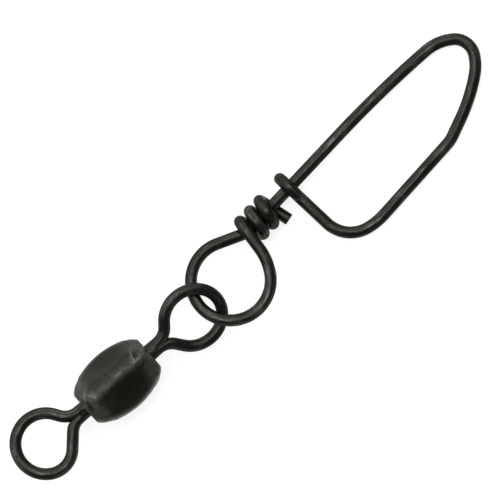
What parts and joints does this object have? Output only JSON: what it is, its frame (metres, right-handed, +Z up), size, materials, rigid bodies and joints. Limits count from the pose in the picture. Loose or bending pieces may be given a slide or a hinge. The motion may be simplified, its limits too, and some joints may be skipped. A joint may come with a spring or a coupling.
{
  "type": "fishing snap swivel",
  "caption": "Black barrel swivel with a plain line eye at one end and, linked to its other eye, a snap bent from one spring wire with a wrapped loop and a long hooked clip.",
  "frame": {"origin": "centre of the footprint, on the surface that the swivel lies on", "axes": "+X along the barrel's axis from the line eye towards the snap, +Z up from the surface"},
  "size_m": [0.0512, 0.0088, 0.0054],
  "materials": {
    "barrel_black": "black plated brass, satin, with press marks and small pits",
    "eye_black": "black plated steel wire, satin, with fine drawing lines",
    "snap_black": "black plated spring wire, satin, with fine drawing lines and small pits"
  },
  "bodies": {
    "barrel": {"barrel": "barrel_black"},
    "line_eye": {"line_eye": "eye_black"},
    "snap_eye": {"snap_eye": "eye_black"},
    "snap": {"snap": "snap_black"}
  },
  "joints": [
    {"name": "line_eye_spin", "type": "hinge", "parent": "barrel", "child": "line_eye", "pos_m": [-0.01828, 0.00022, 0.00272], "axis": [1, 0, 0], "continuous": true},
    {"name": "snap_eye_spin", "type": "hinge", "parent": "barrel", "child": "snap_eye", "pos_m": [-0.01128, 0.00022, 0.00272], "axis": [1, 0, 0], "continuous": true},
    {"name": "snap_swing", "type": "hinge", "parent": "snap_eye", "child": "snap", "pos_m": [-0.00668, 0.00005, 0.00264], "axis": [0, -0.4612, 0.8873], "range_deg": [-110, 110]}
  ]
}
